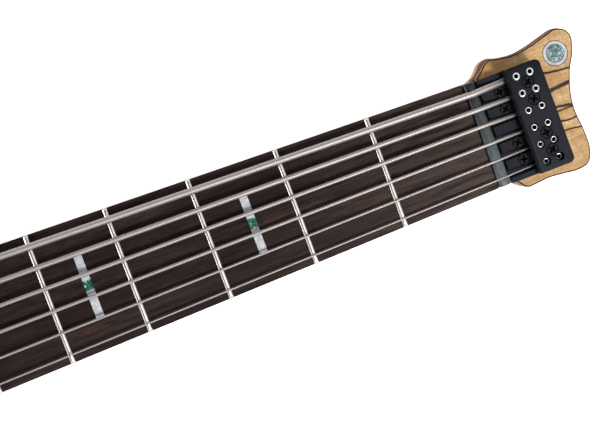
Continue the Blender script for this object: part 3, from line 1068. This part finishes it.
# Pickups: sealed soapbar covers moulded in black plastic, held in their cavities by four small screws.
PICKUP_UNDERSIDE, PICKUP_TOP, PICKUP_SCREW_RADIUS = 30 * MM, 50 * MM, 2.0 * MM
PICKUP_SCREW_ALONG, PICKUP_SCREW_ACROSS = 13.6 * MM, 52 * MM
gloss = {"Specular IOR Level": 0.42}
cover_plastic, tree, shader, place = finish("moulded_black_plastic", "#17171A", 0.46, 0.0, gloss)
speckle = add(tree, "TexNoise", {"Scale": 1800.0, "Detail": 2.0}, {"Vector": place})
dents = add(tree, "Bump", {"Strength": 0.2, "Distance": 0.02 * MM}, {"Height": speckle})
feed(tree, shader, {"Normal": dents, "Base Color": mixed(tree, speckle, "#141416", "#1D1D20")})
for name, x in PICKUPS.items():
    low = (x - PICKUP_HALF_WIDTH, -PICKUP_HALF_LENGTH, PICKUP_UNDERSIDE)
    high = (x + PICKUP_HALF_WIDTH, PICKUP_HALF_LENGTH, PICKUP_TOP)
    cover = rounded_plate(f"soapbar_{name}", low, high, PICKUP_CORNER, 1.5 * MM)
    places = []
    for sx, sy in ((1, 1), (1, -1), (-1, 1), (-1, -1)):
        at = (x + sx * PICKUP_SCREW_ALONG, sy * PICKUP_SCREW_ACROSS, PICKUP_TOP - 0.15 * MM)
        places.append(Vector(at))
    cover = shaped(cover, "DIFFERENCE", [sink(place, PICKUP_SCREW_RADIUS) for place in places])
    fit(cover, [cover_plastic], nodes=[name])
    cross_head_screws(f"{name}_screws", places, PICKUP_SCREW_RADIUS, spin=29)

# Control knobs: turned aluminium with a knurled skirt, anodised black, and a small pale dot let into the
# top. Each is fixed on its pot's shaft.
knob_metal = black_anodised("black_anodised_knob", "#141416", 0.32)
dot_white = finish("white_filler", "#D8D6CE", 0.4)[0]
KNOB_BASE, SKIRT_FLUTES = 44.4 * MM, 48


def skirt(angle):
    return 1 - 0.03 * (0.5 - 0.5 * math.cos(SKIRT_FLUTES * angle))


rows = [
    (0, 14.6), (5.2, 14.6), (5.7, 14.8), (6.0, 15.0), (6.9, 14.9), (7.5, 14.4), (7.8, 13.6), (8.3, 12.2),
    (8.45, 11.6, skirt), (8.85, 3.6, skirt), (8.7, 3.2), (9.2, 2.8), (9.5, 2.3), (9.5, 0.3), (9.2, 0),
    (3.0, 0), (3.0, -17.9), (0, -17.9),
]
for name, (x, y) in zip(("volume_knob", "blend_knob", "tone_knob"), CONTROLS):
    foot = Vector((x * MM, y * MM, KNOB_BASE))
    fit(turned(f"turned_{name}", rows, 4 * SKIRT_FLUTES, foot), [knob_metal], name, [name], 26)
    dot = [(0, -0.1), (0.75, -0.1), (0.75, 0.04), (0.6, 0.1), (0, 0.12)]
    dot_place = foot + Vector((0, 4 * MM, 14.65 * MM))
    fit(turned(f"{name}_dot", dot, 24, dot_place), [dot_white], name)

# Pots: three sealed cans on a steel plate under the face, and the toggle switch beside them, with a round
# knurled nut on its bushing and a bright bat lever.
pot_steel = bright_steel("zinc_plated_steel", "#A9A8A6", 0.4)
refinished("pot_plate", pot_steel)
refinished("toggle_switch", pot_steel)
x, y = CONTROLS[3]
rows = [
    (4.1, 0.02), (7.2, 0.02), (7.2, 0.4), (6.4, 0.5), (6.6, 0.7, knurl), (6.6, 1.7, knurl), (6.1, 2.0),
    (4.6, 2.0), (4.1, 1.7), (4.1, 0.02),
]
nut_ring = turned("toggle_nut", rows, 4 * KNOB_FLUTES, (x * MM, y * MM, BODY_THICKNESS))
fit(nut_ring, [black_steel])
rows = [
    (0, 15), (0.9, 14.85), (1.6, 14.4), (2.1, 13.7), (2.38, 12.75), (2.2, 11.2), (1.9, 9.4), (1.6, 7.3),
    (1.35, 4.6), (1.2, 2.4), (1.4, 1.4), (1.72, 0.6), (1.8, 0), (1.6, -0.8), (1.1, -1.4), (0, -1.8),
]
lever = turned("bat_lever", rows, 32, (x * MM, y * MM, BODY_THICKNESS + 1 * MM))
fit(lever, [plated], "toggle_lever", ["toggle_lever"], 60)

# Cover of the control cavity: a black plastic plate let into the back and held by six small screws.
COVER_FACE, COVER_BACK, COVER_SCREW_RADIUS = 0.3 * MM, 2.95 * MM, 2.2 * MM
cover_outline, down = grown(CAVITY_OUTLINE, COVER_LIP), (0, 0, -1)
cover = outlined("cavity_cover", cover_outline, COVER_FACE, COVER_BACK, edge=0.4 * MM, edge_steps=2)
places = [Vector((*point, COVER_FACE + 0.12 * MM)) for point in grown(CAVITY_OUTLINE, 3.6 * MM)]
places = [places[k] for k in (0, 1, 3, 4, 5, 7)]
cover = shaped(cover, "DIFFERENCE", [sink(place, COVER_SCREW_RADIUS, down) for place in places])
fit(cover, [cover_plastic], nodes=["control_cover"])
cross_head_screws("cavity_cover_screws", places, COVER_SCREW_RADIUS, down, 41)

# Output jack: a turned barrel let into the lower rim behind a thin flange, with the socket's bright ring.
rows = [
    (0, -28), (3.4, -28), (3.4, 1.9), (3.7, 2.0), (6.0, 2.0), (6.1, 1.6), (7.0, 1.6), (7.1, 2.0), (10.3, 2.0),
    (10.8, 1.7), (11, 1.3), (11, 0), (8, 0), (8, -34), (0, -34),
]
jack = turned("barrel_jack", rows, 64, JACK_SEAT + Vector((0, -0.02 * MM, 0)), (0, -1, 0))
fit(jack, [anodised], nodes=["output_jack"])

# Strap buttons: turned black steel with a waist for the strap's hole, each held by one flat screw.
rows = [
    (0, 11.4), (2.4, 11.4), (4.3, 12.9), (4.8, 13.0), (5.7, 12.95), (6.6, 12.5), (7.0, 11.7), (6.9, 10.9),
    (6.3, 10.0), (4.5, 8.0), (3.5, 6.4), (3.4, 4.4), (3.7, 2.7), (4.8, 1.2), (5.9, 0.3), (5.95, 0), (1.7, 0),
    (1.7, -12), (0, -12),
]
for name, (seat, out) in STRAP_SEATS.items():
    button = turned(f"turned_{name}", rows, 48, seat - out * 0.25 * MM, out)
    fit(button, [black_steel], nodes=[name])
    cross_head_screws(f"{name}_screw", [seat + out * 12.6 * MM], 3.3 * MM, out, bright=True)

# Floor: a plain pale sheet that turns up into a backdrop all round. It shows white, to the camera and in
# reflections, and keeps the instrument's soft shadow near it.
BACKDROP_RADIUS, BACKDROP_HEIGHT, FLOOR_MIDDLE = 11.0, 9.0, Vector((0.4, 0, 0))
rows = [(0, 0), (BACKDROP_RADIUS - 2, 0), (BACKDROP_RADIUS, 2), (BACKDROP_RADIUS, BACKDROP_HEIGHT)]
floor = turned("floor", rows, 64, FLOOR_MIDDLE, unit=1)
paper, tree, shader, place = finish("white_paper", "#E6E6E6", 0.9, 0.0, {"Specular IOR Level": 0.1})
path = add(tree, "LightPath")
seen = path.outputs["Is Camera Ray"]
for ray in ("Is Glossy Ray", "Is Transmission Ray"):
    seen = add(tree, "Math", {}, {0: seen, 1: path.outputs[ray]}, operation="MAXIMUM")
away = add(tree, "VectorMath", {1: (0.1, 0, 0)}, {0: place}, operation="DISTANCE")
limits = {"From Min": 0.25, "From Max": 1.0, "To Min": 0.55, "To Max": 1.0}
lift = add(tree, "MapRange", limits, {"Value": away.outputs["Value"]})
lift = add(tree, "Math", {}, {0: seen, 1: lift}, operation="MULTIPLY")
glow = add(tree, "Emission", {"Color": (1, 1, 1, 1)}, {"Strength": lift})
both = add(tree, "AddShader", {}, {0: shader, 1: glow})
tree.links.new(tree.nodes["Material Output"].inputs["Surface"], both.outputs[0])
floor.data.materials.append(paper)

# Studio: a soft lamp from the head's treble side, a wide panel overhead that the metal mirrors, a low lamp
# beyond the tail that fills the edges facing it, and a dim pale room.
AIMED_AT = Vector((0.7, 0, 0.05))
LAMPS = {
    "key": ((1.25, -1.0, 1.7), (0.5, 0.5), 37.0),
    "panel": ((1.95, 0.1, 2.2), (1.3, 1.6), 12.0),
    "fill": ((-0.9, 0.5, 0.4), (1.0, 0.5), 24.0),
}
for name, (at, size, power) in LAMPS.items():
    lamp = bpy.data.lights.new(name, "AREA")
    lamp.shape, lamp.size, lamp.size_y, lamp.energy = "RECTANGLE", size[0], size[1], power
    stand = placed(name, lamp)
    stand.location = at
    stand.rotation_euler = (AIMED_AT - Vector(at)).to_track_quat("-Z", "Y").to_euler()
room = bpy.data.worlds.new("room")
room.use_nodes = True
room.node_tree.nodes["Background"].inputs["Color"].default_value = (1, 1, 1, 1)
room.node_tree.nodes["Background"].inputs["Strength"].default_value = 0.1
bpy.context.scene.world = room

# Camera: almost straight above the nut, turned so that the neck runs up to the right.
lens = bpy.data.cameras.new("photo")
lens.lens, lens.sensor_width, lens.clip_start = 75.6, 36.0, 0.01
camera = placed("photo", lens)
CAMERA_PLACE = (730.81 * MM, 19.4 * MM, 640.59 * MM)
CAMERA_TURNS = [("Z", 20.6949), ("Y", 3.8555), ("X", 2.1164)]
view = Matrix.Identity(3)
for axis, angle in CAMERA_TURNS:
    view = view @ Matrix.Rotation(math.radians(angle), 3, axis)
camera.matrix_world = Matrix.Translation(CAMERA_PLACE) @ view.transposed().to_4x4()
bpy.context.scene.camera = camera
bpy.context.scene.view_settings.view_transform = "Standard"
